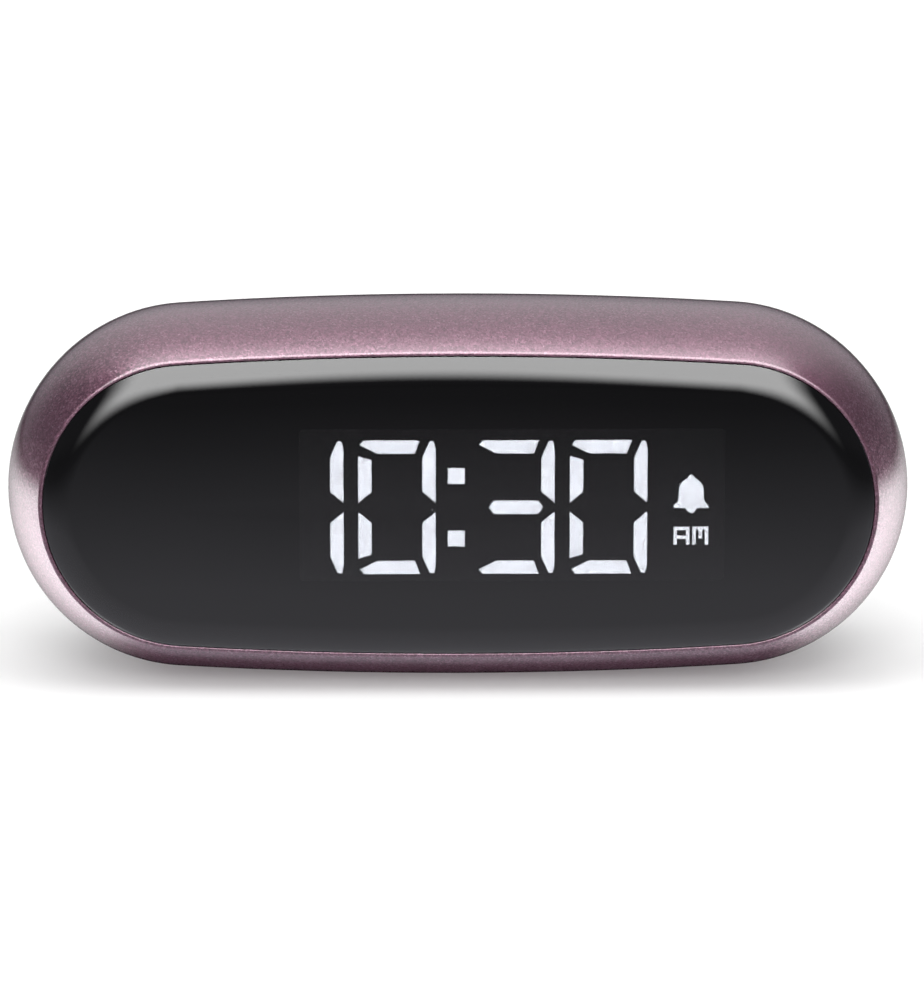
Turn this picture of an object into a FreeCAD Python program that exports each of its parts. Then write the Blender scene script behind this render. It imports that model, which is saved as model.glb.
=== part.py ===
import FreeCAD, Part
import math
import os

# Battery-powered digital alarm clock with a pill-shaped front.
# X is to the right, Y runs from the front to the back, Z is up, in millimetres.
# Places are given as x, a height h from the middle of the front, and a depth d
# behind the plane of the front rim. Every casing section is a parallel offset
# of the lens outline, so it is written as pairs of (offset, depth).

Vector = FreeCAD.Vector

# ---- driving dimensions: lens outline, four tangent arcs ----
HALF_W = 54.8
HALF_H = 20.1
END_R = 19.0
END_X = HALF_W - END_R
TOP_R = (END_X**2 + HALF_H**2 - END_R**2) / (2 * (HALF_H - END_R))
TOP_TURN = math.atan2(END_X, TOP_R - HALF_H)

# ---- casing section ----
NOSE_R = 0.4
CREST = 5.2
CREST_D = 12.2
REAR_R = 42.0
TAPER = math.radians(24)
CORNER_R = 5.0
BACK_D = 38.0
WALL = 2.0
BACK_WALL = 2.4
SEAM_D = 22.0
SEAM_GAP = 0.2
TONGUE = 2.0
TONGUE_OFFSET = 3.2
FIT = 0.05
BAND_R = (((CREST - NOSE_R)**2 + (CREST_D - NOSE_R)**2 - NOSE_R**2)
          / (2 * (CREST - 2 * NOSE_R)))

# ---- where the clock stands ----
FLOOR_GAP = 0.4
CENTRE_Z = FLOOR_GAP + HALF_H + CREST
LENS_CROWN = 2.25
KNOB_TOP_D = 38.9
RIM_Y = -(KNOB_TOP_D - LENS_CROWN) / 2

# ---- lens and front plate ----
LENS_GAP = 0.1
LENS_BACK_D = 1.4
DOME_R = 170.0
DOME_EDGE = -3.9
EDGE_SLOPE = math.radians(40)
PLATE_D = 1.6
PLATE_BACK_D = 3.0

# ---- display ----
LCD_X = 7.0
LCD_HALF = 31.0
WINDOW_HALF = 29.0
WINDOW_HALF_H = 11.0
GLASS_D = 3.2
GLASS_T = 0.7
SEGMENT_T = 0.08
SEGMENT_SCALE = 0.975  # squeezes the flat shapes in height
SEGMENT_SHIFT = -0.84
DIGIT_W = 10.22
FRAME_BACK_D = 9.0
BOARD_T = 1.4
BOARD_BACK_D = FRAME_BACK_D + BOARD_T
LCD_SCREW_X = 28.0
LCD_SCREW_H = 16.4
LCD_BOSS_D = 7.0

# ---- screws that close the casing ----
CASE_SCREW_X = 43.2
CASE_SCREW_H = 8.2
BOSS_R = 2.7
BOSS_END_D = 27.0
WELL_R = 3.3
WELL_BORE_R = 2.4

# ---- battery bay ----
BAY_X0, BAY_X1 = -14.5, 36.0
BAY_HALF_H = 11.4
BAY_FLOOR_D = 24.6
BAY_WALL = 1.2
CELL_R = 5.25
CELL_H = 5.65
CELL_D = 30.3
CELL_L = 44.5
NUB_L = 0.9
NUB_R = 1.9
DOOR_X0, DOOR_X1 = -15.5, 37.3
DOOR_HALF_H = 12.3
DOOR_R = 3.0
DOOR_GAP = 0.2
DOOR_SEAT_D = 36.5
DOOR_T = 1.4
TAB_H = 9.7
TAB_HALF = 1.4
TAB_D = 34.7
TAB_X0 = -16.3

# ---- keys and alarm switch ----
KEY_X = (-36.4, -27.9)
KEY_H = 4.8
KEY_R = 2.8
SWITCH_X = -21.9
SWITCH_UP_H = 1.5
KEY_BOARD_D = 29.5
KEY_BOARD_T = 1.2
KEY_POST_X = -32.15
KEY_POST_H = 10.2
PLATE_POCKET_D = 37.0

BUZZER_X = 44.4
BUZZER_R = 4.3

FOOT_X = 25.0
FRONT_FOOT_D = 17.6
REAR_FOOT_D = 28.0


# ---------- helpers ----------
def at(x, h, d):
    return Vector(x, RIM_Y + d, CENTRE_Z + h)


def block(x0, x1, h0, h1, d0, d1):
    return Part.makeBox(x1 - x0, d1 - d0, h1 - h0, at(x0, h0, d0))


def pin(x, h, r, d0, d1):
    return Part.makeCylinder(r, d1 - d0, at(x, h, d0), Vector(0, 1, 0))


def rounded(x0, x1, h0, h1, r, d0, d1):
    # plate whose four corners, seen from the front, are rounded
    plate = block(x0, x1, h0, h1, d0, d1)
    corners = [e for e in plate.Edges if abs(e.tangentAt(e.FirstParameter).y) > 0.99]
    return plate.makeFillet(r, corners)


def join(first, *others):
    return first.fuse(list(others)).removeSplitter()


def sectors():
    # centre x, centre height, radius, start angle and sweep of the four arcs
    quarter = math.pi / 2
    drop = TOP_R - HALF_H
    end_sweep = 2 * (quarter - TOP_TURN)
    return [
        (0.0, -drop, TOP_R, quarter - TOP_TURN, 2 * TOP_TURN),
        (-END_X, 0.0, END_R, quarter + TOP_TURN, end_sweep),
        (0.0, drop, TOP_R, 3 * quarter - TOP_TURN, 2 * TOP_TURN),
        (END_X, 0.0, END_R, TOP_TURN - quarter, end_sweep),
    ]


def section_edges(path, spot):
    # a step is a point, or a pair: a point that an arc passes and its end point
    edges = []
    here = path[0]
    for step in path[1:] + [path[0]]:
        if isinstance(step[0], tuple):
            middle, end = step
            edges.append(Part.Arc(spot(here), spot(middle), spot(end)).toShape())
            here = end
        elif math.dist(step, here) > 1e-6:
            edges.append(Part.LineSegment(spot(here), spot(step)).toShape())
            here = step
    return edges


def sweep_sector(path, sector, start=None, sweep=None):
    x, h, radius, angle, turn = sector
    angle = angle if start is None else start
    turn = turn if sweep is None else sweep

    def spot(p):
        reach = radius + p[0]
        return at(x + reach * math.cos(angle), h + reach * math.sin(angle), p[1])

    face = Part.Face(Part.Wire(section_edges(path, spot)))
    return face.revolve(at(x, h, 0), Vector(0, -1, 0), math.degrees(turn))


def ring(path):
    parts = [sweep_sector(path, sector) for sector in sectors()]
    return join(*parts)


def prism(offset, d0, d1):
    edges = []
    for x, h, radius, start, sweep in sectors():
        points = []
        for share in (0, 0.5, 1):
            angle = start + share * sweep
            reach = radius + offset
            points.append(at(x + reach * math.cos(angle), h + reach * math.sin(angle), d0))
        edges.append(Part.Arc(*points).toShape())
    return Part.Face(Part.Wire(edges)).extrude(Vector(0, d1 - d0, 0))


def on_arc(centre, radius, angle):
    # point of a section arc, the angle measured from outwards towards the back
    return (centre[0] + radius * math.cos(angle), centre[1] + radius * math.sin(angle))


def arc_step(centre, radius, a0, a1):
    return (on_arc(centre, radius, (a0 + a1) / 2), on_arc(centre, radius, a1))


def tube(points, radius, bend):
    # straight runs joined by tangent arcs
    edges = []
    here = points[0]
    for k in range(1, len(points) - 1):
        corner = points[k]
        back = (points[k - 1] - corner).normalize()
        ahead = (points[k + 1] - corner).normalize()
        half = back.getAngle(ahead) / 2
        reach = bend / math.tan(half)
        into = corner + back * reach
        out = corner + ahead * reach
        middle_way = (back + ahead).normalize()
        middle = corner + middle_way * (bend / math.sin(half) - bend)
        edges.append(Part.LineSegment(here, into).toShape())
        edges.append(Part.Arc(into, middle, out).toShape())
        here = out
    edges.append(Part.LineSegment(here, points[-1]).toShape())
    path = Part.Wire(edges)
    start = (points[1] - points[0]).normalize()
    circle = Part.Wire(Part.makeCircle(radius, points[0], start))
    return path.makePipeShell([circle], True, True)


# ---------- the casing's section ----------
BAND_C = (CREST - BAND_R, CREST_D)
REAR_C = (CREST - REAR_R, CREST_D)
NOSE_C = (NOSE_R, NOSE_R)
NOSE_ANGLE = math.atan2(NOSE_C[1] - BAND_C[1], NOSE_C[0] - BAND_C[0])
CORNER_D = BACK_D - CORNER_R
TAPER_START = on_arc(REAR_C, REAR_R, TAPER)
CORNER_C = (TAPER_START[0] - (CORNER_R + (CORNER_D - TAPER_START[1]) * math.sin(TAPER))
            / math.cos(TAPER), CORNER_D)
BACK_OFFSET = CORNER_C[0]


def band_angle(depth, inset=0.0):
    return math.asin((depth - CREST_D) / (BAND_R - inset))


def rear_angle(depth, inset=0.0):
    return math.asin((depth - CREST_D) / (REAR_R - inset))


def front_skin():
    outer_end = rear_angle(SEAM_D)
    inner_end = rear_angle(SEAM_D - TONGUE, WALL)
    inner_start = band_angle(PLATE_BACK_D, WALL)
    return [
        (0.0, NOSE_R),
        arc_step(NOSE_C, NOSE_R, -math.pi, NOSE_ANGLE),
        arc_step(BAND_C, BAND_R, NOSE_ANGLE, 0.0),
        arc_step(REAR_C, REAR_R, 0.0, outer_end),
        (TONGUE_OFFSET, SEAM_D),
        (TONGUE_OFFSET, SEAM_D - TONGUE),
        on_arc(REAR_C, REAR_R - WALL, inner_end),
        arc_step(REAR_C, REAR_R - WALL, inner_end, 0.0),
        arc_step(BAND_C, BAND_R - WALL, 0.0, inner_start),
        (0.0, PLATE_BACK_D),
    ]


def rear_skin():
    inner_back = BACK_D - BACK_WALL
    corner_end = math.asin((inner_back - CORNER_D) / (CORNER_R - WALL))
    tongue_start = SEAM_D - TONGUE + FIT
    skin_start = SEAM_D + SEAM_GAP
    outer_start = rear_angle(skin_start)
    inner_end = rear_angle(tongue_start, WALL)
    return [
        (TONGUE_OFFSET - FIT, tongue_start),
        (TONGUE_OFFSET - FIT, skin_start),
        on_arc(REAR_C, REAR_R, outer_start),
        arc_step(REAR_C, REAR_R, outer_start, TAPER),
        on_arc(CORNER_C, CORNER_R, TAPER),
        arc_step(CORNER_C, CORNER_R, TAPER, math.pi / 2),
        (BACK_OFFSET, inner_back),
        on_arc(CORNER_C, CORNER_R - WALL, corner_end),
        arc_step(CORNER_C, CORNER_R - WALL, corner_end, TAPER),
        on_arc(REAR_C, REAR_R - WALL, TAPER),
        arc_step(REAR_C, REAR_R - WALL, TAPER, inner_end),
    ]


def envelope(grow):
    # everything inside the casing's outer surface between the nose and the back
    path = [
        (-END_R / 2, 1.0),
        (NOSE_C[0], 1.0),
        on_arc(BAND_C, BAND_R + grow, band_angle(1.0, -grow)),
        arc_step(BAND_C, BAND_R + grow, band_angle(1.0, -grow), 0.0),
        arc_step(REAR_C, REAR_R + grow, 0.0, TAPER),
        on_arc(CORNER_C, CORNER_R + grow, TAPER),
        arc_step(CORNER_C, CORNER_R + grow, TAPER, math.pi / 2),
        (-END_R / 2, BACK_D + grow),
    ]
    return ring(path)


# ---------- casing ----------
def case_screw_spots():
    return [(sx * CASE_SCREW_X, sh * CASE_SCREW_H) for sx in (-1, 1) for sh in (-1, 1)]


def display_screw_spots():
    return [(LCD_X + sx * LCD_SCREW_X, sh * LCD_SCREW_H) for sx in (-1, 1) for sh in (-1, 1)]


def front_housing():
    body = join(ring(front_skin()), prism(0.0, PLATE_D, PLATE_BACK_D))
    window = rounded(LCD_X - WINDOW_HALF, LCD_X + WINDOW_HALF, -WINDOW_HALF_H,
                     WINDOW_HALF_H, 1.0, 0, 4)
    bosses = [pin(x, h, BOSS_R, PLATE_BACK_D, BOSS_END_D) for x, h in case_screw_spots()]
    bosses += [pin(x, h, 2.3, PLATE_BACK_D, LCD_BOSS_D) for x, h in display_screw_spots()]
    pilots = [pin(x, h, 1.3, 14, 28) for x, h in case_screw_spots()]
    pilots += [pin(x, h, 1.0, 3.6, 8) for x, h in display_screw_spots()]
    body = join(body, *bosses)
    return body.cut([window] + pilots)


def sound_holes():
    holes = [pin(BUZZER_X, 0, 0.55, 35, 39)]
    for count, reach in ((6, 1.8), (12, 3.5)):
        for k in range(count):
            angle = 2 * math.pi * k / count
            x = BUZZER_X + reach * math.cos(angle)
            holes.append(pin(x, reach * math.sin(angle), 0.55, 35, 39))
    return holes


def key_spots():
    return {
        "set": (KEY_X[0], KEY_H),
        "mode": (KEY_X[0], -KEY_H),
        "up": (KEY_X[1], KEY_H),
        "down": (KEY_X[1], -KEY_H),
    }


def pocket(gap, d0, d1):
    return rounded(-40.2 - gap, -18.4 + gap, -10.2 - gap, 10.2 + gap, 5.0 + gap, d0, d1)


def rear_housing():
    inner_back = BACK_D - BACK_WALL
    back = prism(BACK_OFFSET, inner_back, BACK_D)
    bay = block(BAY_X0 - BAY_WALL, BAY_X1 + BAY_WALL, -BAY_HALF_H - BAY_WALL,
                BAY_HALF_H + BAY_WALL, BAY_FLOOR_D - BAY_WALL, inner_back)
    wells = [pin(x, h, WELL_R, BOSS_END_D, BACK_D - 1) for x, h in case_screw_spots()]
    posts = [pin(KEY_POST_X, s * KEY_POST_H, 1.8, KEY_BOARD_D + KEY_BOARD_T, inner_back)
             for s in (-1, 1)]
    buzzer_cup = pin(BUZZER_X, 0, 5.4, 31, inner_back)
    body = join(ring(rear_skin()), back, bay, buzzer_cup, *(wells + posts))
    cuts = [
        block(BAY_X0, BAY_X1, -BAY_HALF_H, BAY_HALF_H, BAY_FLOOR_D, BACK_D + 1),
        rounded(DOOR_X0 - DOOR_GAP, DOOR_X1 + DOOR_GAP, -DOOR_HALF_H - DOOR_GAP,
                DOOR_HALF_H + DOOR_GAP, DOOR_R + DOOR_GAP, DOOR_SEAT_D, BACK_D + 1),
        pin(BUZZER_X, 0, BUZZER_R + 0.15, 30.5, inner_back),
        pocket(0.1, PLATE_POCKET_D, BACK_D + 1),
        block(SWITCH_X - 1.4, SWITCH_X + 1.4, -3.6, 3.6, 35, 38),
        block(BAY_X1 - 1, BAY_X1 + BAY_WALL + 1, -3.4, 3.4, 34.2, inner_back),
    ]
    cuts += sound_holes()
    for side in (-1, 1):
        slot = sorted((side * (TAB_H - TAB_HALF - 0.3), side * (TAB_H + TAB_HALF + 0.3)))
        cuts.append(block(BAY_X0 - BAY_WALL - 1, BAY_X0 + 1, slot[0], slot[1],
                          34.0, inner_back))
        cuts.append(pin(KEY_POST_X, side * KEY_POST_H, 0.85, 30, 34.6))
        # slots in the bay's floor for the tails of the two contacts
        cuts.append(block(BAY_X0, BAY_X0 + 0.6, side * CELL_H - 1.4, side * CELL_H + 1.4,
                          22, 25))
    for x, h in key_spots().values():
        cuts.append(pin(x, h, 3.2, 35, 38))
    for x, h in case_screw_spots():
        cuts.append(pin(x, h, WELL_BORE_R, 29, 39))
        cuts.append(pin(x, h, 1.5, 26, 30))
    return body.cut(cuts)


def foot(x, depth):
    # rubber pad, flat below and shaped to the belly above
    half_l, r, top = 4.0, 3.0, 6.0
    y = RIM_Y + depth
    pad = join(
        Part.makeBox(2 * half_l, 2 * r, top, Vector(x - half_l, y - r, 0)),
        Part.makeCylinder(r, top, Vector(x - half_l, y, 0)),
        Part.makeCylinder(r, top, Vector(x + half_l, y, 0)),
    )
    return pad.cut(envelope(0.02))


# ---------- lens and display ----------
def front_lens():
    # a shallow dome over the whole front, rounded down into the rim
    flat = -END_R
    dome_c = (flat, DOME_R - LENS_CROWN)
    dome_slope = math.asin((DOME_EDGE - flat) / DOME_R)
    edge = -LENS_GAP
    edge_r = (edge - DOME_EDGE) / (math.sin(EDGE_SLOPE) - math.sin(dome_slope))
    dome_end = on_arc(dome_c, DOME_R, dome_slope - math.pi / 2)
    edge_c = (dome_end[0] - edge_r * math.sin(dome_slope),
              dome_end[1] + edge_r * math.cos(dome_slope))
    path = [
        (flat, -LENS_CROWN),
        arc_step(dome_c, DOME_R, -math.pi / 2, dome_slope - math.pi / 2),
        arc_step(edge_c, edge_r, dome_slope - math.pi / 2, EDGE_SLOPE - math.pi / 2),
        (edge, LENS_BACK_D),
        (flat, LENS_BACK_D),
    ]
    rise = HALF_H + flat
    top = Part.Arc(at(-END_X, 0, -LENS_CROWN), at(0, rise, -LENS_CROWN),
                   at(END_X, 0, -LENS_CROWN))
    low = Part.Arc(at(END_X, 0, -LENS_CROWN), at(0, -rise, -LENS_CROWN),
                   at(-END_X, 0, -LENS_CROWN))
    sliver = Part.Face(Part.Wire([top.toShape(), low.toShape()]))
    middle = sliver.extrude(Vector(0, LENS_CROWN + LENS_BACK_D, 0))
    return join(ring(path), middle)


def lens_adhesive_ring():
    return prism(-0.4, LENS_BACK_D, PLATE_D).cut(prism(-2.4, 0, 3))


def mask_film():
    window = block(LCD_X - 28, LCD_X + 28, -10.2, 10.2, 0, 3)
    return prism(-2.6, LENS_BACK_D, PLATE_D).cut(window)


def sheet(half_x, half_h, d0, d1):
    return block(LCD_X - half_x, LCD_X + half_x, -half_h, half_h, d0, d1)


def front_polariser():
    return sheet(30.5, 12.0, PLATE_BACK_D, GLASS_D)


def lcd_front_glass():
    return sheet(LCD_HALF, 14.0, GLASS_D, GLASS_D + GLASS_T)


def lcd_rear_glass():
    start = GLASS_D + GLASS_T + SEGMENT_T
    return sheet(LCD_HALF, 12.0, start, start + GLASS_T)


def rear_polariser():
    return sheet(30.5, 11.0, 4.68, 4.88)


def diffuser_film():
    return sheet(30.0, 10.8, 4.95, 5.1)


def light_guide():
    return sheet(30.0, 10.8, 5.1, 7.1)


def reflector_film():
    return sheet(30.0, 10.8, 7.1, 7.25)


def backlight_leds():
    lamps = []
    for side in (-1, 1):
        for row in (-1, 0, 1):
            x = LCD_X + side * 30.55
            lamps.append(block(x - 0.5, x + 0.5, 6 * row - 1.6, 6 * row + 1.6, 5.3, 6.9))
    return lamps


def flat_shape(points):
    # thin plate between the two display glasses
    depth = GLASS_D + GLASS_T
    corners = [at(x, SEGMENT_SCALE * h + SEGMENT_SHIFT, depth) for x, h in points]
    wire = Part.makePolygon(corners + corners[:1])
    return Part.Face(wire).extrude(Vector(0, SEGMENT_T, 0))


def segment_shapes():
    bar_a = [(0.23, 8.55), (0.77, 9.15), (8.13, 9.15), (7.47, 7.35), (2.53, 7.35)]
    bar_b = [(9.46, 9.04), (10.0, 9.0), (DIGIT_W, 7.93), (DIGIT_W, 0.65), (8.46, 2.16),
             (8.46, 6.78)]
    bar_f = [(0, 7.01), (1.76, 6.44), (1.76, 2.16), (0, 0.65)]
    bar_g = [(1.55, 0), (2.21, 0.92), (8.03, 0.92), (8.69, 0), (8.03, -0.92),
             (2.21, -0.92)]
    bars = {"a": bar_a, "b": bar_b, "f": bar_f, "g": bar_g}
    for name, twin in (("d", "a"), ("c", "b"), ("e", "f")):
        bars[name] = [(u, -w) for u, w in bars[twin]]
    return bars


def round_shape(x, h, r):
    return pin(x, h + SEGMENT_SHIFT, r, GLASS_D + GLASS_T, GLASS_D + GLASS_T + SEGMENT_T)


def bell_icon(x, h):
    skirt = flat_shape([(x - 2.3, h - 1.75), (x + 2.3, h - 1.75), (x + 2.25, h - 1.35),
                        (x + 1.7, h - 0.8), (x + 1.6, h + 0.6), (x - 1.6, h + 0.6),
                        (x - 1.7, h - 0.8), (x - 2.25, h - 1.35)])
    dome = round_shape(x, h + 0.65, 1.6)
    knob = round_shape(x, h + 2.2, 0.45)
    return [join(skirt, dome, knob, round_shape(x, h - 1.8, 0.62))]


def half_day_mark(x, h):
    # the two letters of the morning mark, made of plain strokes
    tall, wide, stroke = 1.22, 2.1, 0.45
    low, high = h - tall, h + tall
    marks = []
    for left in (x - 0.2 - wide, x + 0.2):
        right = left + wide
        strokes = [(left, left + stroke, low, high), (right - stroke, right, low, high),
                   (left, right, high - stroke, high)]
        if left < x - 1:
            strokes.append((left, right, h - stroke, h))
        else:
            middle = (left + right - stroke) / 2
            strokes.append((middle, middle + stroke, h - 0.4, high))
        pieces = [flat_shape([(a, c), (b, c), (b, d), (a, d)]) for a, b, c, d in strokes]
        marks.append(join(*pieces))
    return marks


def lcd_segments():
    bars = segment_shapes()
    shown = ((-25.42, "bc"), (-13.26, "abcdef"), (2.44, "abcdg"), (14.68, "abcdef"))
    solids = []
    for left, names in shown:
        for name in names:
            solids.append(flat_shape([(left + u, w) for u, w in bars[name]]))
    for w in (-4.3, 4.3):
        solids.append(flat_shape([(-1.44, w - 1.07), (0.8, w - 1.07), (0.8, w + 1.07),
                                  (-1.44, w + 1.07)]))
    return solids + bell_icon(30.7, 1.6) + half_day_mark(30.7, -3.95)


def zebra_strip(side):
    heights = sorted((side * 12.1, side * 13.9))
    return block(LCD_X - 28, LCD_X + 28, heights[0], heights[1], GLASS_D + GLASS_T,
                 FRAME_BACK_D)


def display_frame():
    body = block(LCD_X - 32.9, LCD_X + 32.9, -16, 16, PLATE_BACK_D + FIT, FRAME_BACK_D)
    ears = [pin(x, h, 2.6, LCD_BOSS_D, FRAME_BACK_D) for x, h in display_screw_spots()]
    body = join(body, *ears)
    cuts = [sheet(LCD_HALF + 0.2, 14.2, 2, FRAME_BACK_D + 1)]
    for x, h in display_screw_spots():
        cuts.append(pin(x, h, 2.4, 2, LCD_BOSS_D))
        cuts.append(pin(x, h, 1.2, 2, FRAME_BACK_D + 1))
    body = body.cut(cuts)
    rails = []
    for side in (-1, 1):
        heights = sorted((side * 11.1, side * 12.0))
        rails.append(block(LCD_X - LCD_HALF - 0.2, LCD_X + LCD_HALF + 0.2, heights[0],
                           heights[1], 5.0, FRAME_BACK_D))
    return join(body, *rails)


# ---------- electronics ----------
def main_board():
    board = rounded(-39.5, 40.1, -18.6, 18.6, 3.0, FRAME_BACK_D, BOARD_BACK_D)
    return board.cut([pin(x, h, 1.2, 8, 12) for x, h in display_screw_spots()])


def screw(x, h, shank_r, shank_d, head_r, head_d, top_d):
    # pan head towards the back, cross recess in the head
    body = join(pin(x, h, shank_r, shank_d, head_d), pin(x, h, head_r, head_d, top_d))
    arm, slot = head_r * 0.55, head_r * 0.14
    recess = [block(x - arm, x + arm, h - slot, h + slot, top_d - 0.6, top_d + 1),
              block(x - slot, x + slot, h - arm, h + arm, top_d - 0.6, top_d + 1)]
    return body.cut(recess)


def board_screws():
    return [screw(x, h, 0.98, 4.0, 1.9, BOARD_BACK_D, 11.6) for x, h in display_screw_spots()]


def case_screws():
    return [screw(x, h, 1.28, 16.0, 2.2, 29.0, 30.6) for x, h in case_screw_spots()]


def clock_chip():
    # blob of resin over the bare chip
    x, h, reach, rise = -8.0, 0.0, 5.0, 1.4
    sphere_r = (reach**2 + rise**2) / (2 * rise)
    ball = Part.makeSphere(sphere_r, at(x, h, BOARD_BACK_D + rise - sphere_r))
    return ball.common(block(x - 6, x + 6, h - 6, h + 6, BOARD_BACK_D, BOARD_BACK_D + 3))


def quartz_crystal():
    return Part.makeCylinder(1.0, 6.0, at(-22, 8, BOARD_BACK_D + 1.05), Vector(1, 0, 0))


def board_capacitors():
    parts = [pin(22, 9, 2.5, BOARD_BACK_D, BOARD_BACK_D + 6)]
    for k in range(4):
        x = -26 + 5 * k
        parts.append(block(x, x + 2.0, -11.6, -10.4, BOARD_BACK_D, BOARD_BACK_D + 1.0))
    return parts


def board_resistors():
    parts = []
    for row in (-8.0, -5.6):
        for k in range(4):
            x = 6 + 4 * k
            parts.append(block(x, x + 2.0, row, row + 1.2, BOARD_BACK_D, BOARD_BACK_D + 0.6))
    return parts


def board_connector():
    outer = block(-35.5, -30.5, -4.2, 4.2, BOARD_BACK_D, BOARD_BACK_D + 3.6)
    return outer.cut(block(-34.3, -31.7, -3.3, 3.3, BOARD_BACK_D + 1.2, BOARD_BACK_D + 4))


def ribbon_cable():
    # flat cable with a loose S from the main board to the key board
    thick, x = 0.6, -33.0
    half = thick / 2
    stations = ((x, BOARD_BACK_D + 1.2), (x, 16.0), (x - 2.0, 19.0), (x - 2.0, 21.5),
                (x, 24.5), (x, KEY_BOARD_D))
    left = [at(px - half, -3.0, d) for px, d in stations]
    right = [at(px + half, -3.0, d) for px, d in stations]
    outline = left + right[::-1]
    face = Part.Face(Part.makePolygon(outline + outline[:1]))
    return face.extrude(Vector(0, 0, 6.0))


def key_board():
    board = block(-39.6, -17.8, -12.0, 12.0, KEY_BOARD_D, KEY_BOARD_D + KEY_BOARD_T)
    holes = [pin(KEY_POST_X, s * KEY_POST_H, 1.1, 29, 31) for s in (-1, 1)]
    return board.cut(holes)


def key_board_screws():
    solids = []
    for side in (-1, 1):
        x, h = KEY_POST_X, side * KEY_POST_H
        body = join(pin(x, h, 0.83, KEY_BOARD_D, 34.0), pin(x, h, 1.8, 28.3, KEY_BOARD_D))
        slots = [block(x - 1, x + 1, h - 0.25, h + 0.25, 28, 28.9),
                 block(x - 0.25, x + 0.25, h - 1, h + 1, 28, 28.9)]
        solids.append(body.cut(slots))
    return solids


def key_switch_bodies():
    base = KEY_BOARD_D + KEY_BOARD_T
    solids = []
    for x, h in key_spots().values():
        can = block(x - 3, x + 3, h - 3, h + 3, base, base + 3.5)
        solids.append(can.cut(pin(x, h, 1.9, base + 1.6, base + 4)))
    return solids


def alarm_switch_body():
    base = KEY_BOARD_D + KEY_BOARD_T
    can = block(SWITCH_X - 2.2, SWITCH_X + 2.2, -4.5, 4.5, base, base + 3.7)
    room = block(SWITCH_X - 1.4, SWITCH_X + 1.4, -3.7, 3.7, base + 1.0, base + 3.1)
    slot = block(SWITCH_X - 0.9, SWITCH_X + 0.9, -2.6, 2.6, base + 3.0, base + 4)
    return can.cut([room, slot])


def buzzer():
    body = pin(BUZZER_X, 0, BUZZER_R, 31.2, 35.2)
    port = pin(BUZZER_X, 0, 0.9, 34.0, 36)
    base = pin(BUZZER_X, 0, BUZZER_R - 0.5, 30.6, 31.2)
    return join(body, base).cut(port)


def buzzer_leads():
    solids = []
    for side in (-1, 1):
        h = side * 1.6
        route = [at(BUZZER_X - 1, h, 30.6), at(BUZZER_X - 1, h, 24.0),
                 at(38.5, h, 18.0), at(38.5, h, BOARD_BACK_D)]
        solids.append(tube(route, 0.45, 3.0))
    return solids


def touch_foil():
    # thin metal foil under the top of the casing, felt through the plastic
    near, far = WALL + 0.05, WALL + 0.20
    turn = math.radians(2.4)
    path = [
        on_arc(BAND_C, BAND_R - near, band_angle(8.0, near)),
        arc_step(BAND_C, BAND_R - near, band_angle(8.0, near), 0.0),
        arc_step(REAR_C, REAR_R - near, 0.0, rear_angle(19.0, near)),
        on_arc(REAR_C, REAR_R - far, rear_angle(19.0, far)),
        arc_step(REAR_C, REAR_R - far, rear_angle(19.0, far), 0.0),
        arc_step(BAND_C, BAND_R - far, 0.0, band_angle(8.0, far)),
    ]
    return sweep_sector(path, sectors()[0], math.pi / 2 - turn, 2 * turn)


def touch_spring():
    # leaf that stands on the main board and presses on the foil
    points = [(16.0, 10.4), (16.0, 10.7), (19.6, 10.7), (21.6, 14.0), (22.9, 14.6),
              (22.9, 14.3), (21.8, 13.7), (19.8, 10.4)]
    corners = [at(-2.0, h, d) for h, d in points]
    face = Part.Face(Part.makePolygon(corners + corners[:1]))
    return face.extrude(Vector(4.0, 0, 0))


def battery_lead(side, board_x):
    start = at(BAY_X0 + 0.2, side * CELL_H, 22.0)
    route = [start, at(BAY_X0 + 0.2, side * CELL_H, 18.0), at(board_x, side * 4.0, 14.6),
             at(board_x, side * 4.0, BOARD_BACK_D)]
    return tube(route, 0.6, 1.8)


# ---------- battery bay ----------
def cell(nub_x, side):
    # AAA cell, its positive nub towards +X or -X
    way = 1 if side > 0 else -1
    h = side * CELL_H
    axis = Vector(way, 0, 0)
    tail = at(nub_x - way * CELL_L, h, CELL_D)
    can = Part.makeCylinder(CELL_R, CELL_L - NUB_L, tail, axis)
    rims = [e for e in can.Edges if e.Curve.TypeId == "Part::GeomCircle"]
    can = can.makeFillet(0.4, rims)
    nub = Part.makeCylinder(NUB_R, CELL_L, tail, axis)
    foot_cut = Part.makeCylinder(NUB_R + 1.2, 0.25, tail, axis)
    return join(can, nub).cut(foot_cut)


def bent_leaf(h, root, nose):
    # spring leaf folded to a nose that touches the cell's flat end
    thick = 0.3 if nose > root else -0.3
    foot = root - thick / 2
    lip = root + 1.2 * thick
    points = [(foot, 27.6), (root, 27.6), (nose - thick, 30.1), (nose - thick, 30.5),
              (root, 33.4), (foot, 33.4), (foot, 33.8), (lip, 33.8), (nose, 30.6),
              (nose, 30.0), (lip, 27.2), (foot, 27.2)]
    corners = [at(x, h - 2.2, d) for x, d in points]
    face = Part.Face(Part.makePolygon(corners + corners[:1]))
    return face.extrude(Vector(0, 0, 4.4))


def contact_plate(h, x0, x1, tail):
    plate = block(x0, x1, h - 4.4, h + 4.4, 25.4, 34.0)
    if not tail:
        return plate
    strip = block(x0, x1, h - 1.2, h + 1.2, 22.0, 25.6)
    return join(plate, strip)


def positive_contact():
    h = -CELL_H
    plate = contact_plate(h, BAY_X0 + FIT, BAY_X0 + 0.35, True)
    bump = Part.makeCylinder(1.4, 0.33, at(BAY_X0 + 0.35, h, CELL_D), Vector(1, 0, 0))
    return join(plate, bump)


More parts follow.
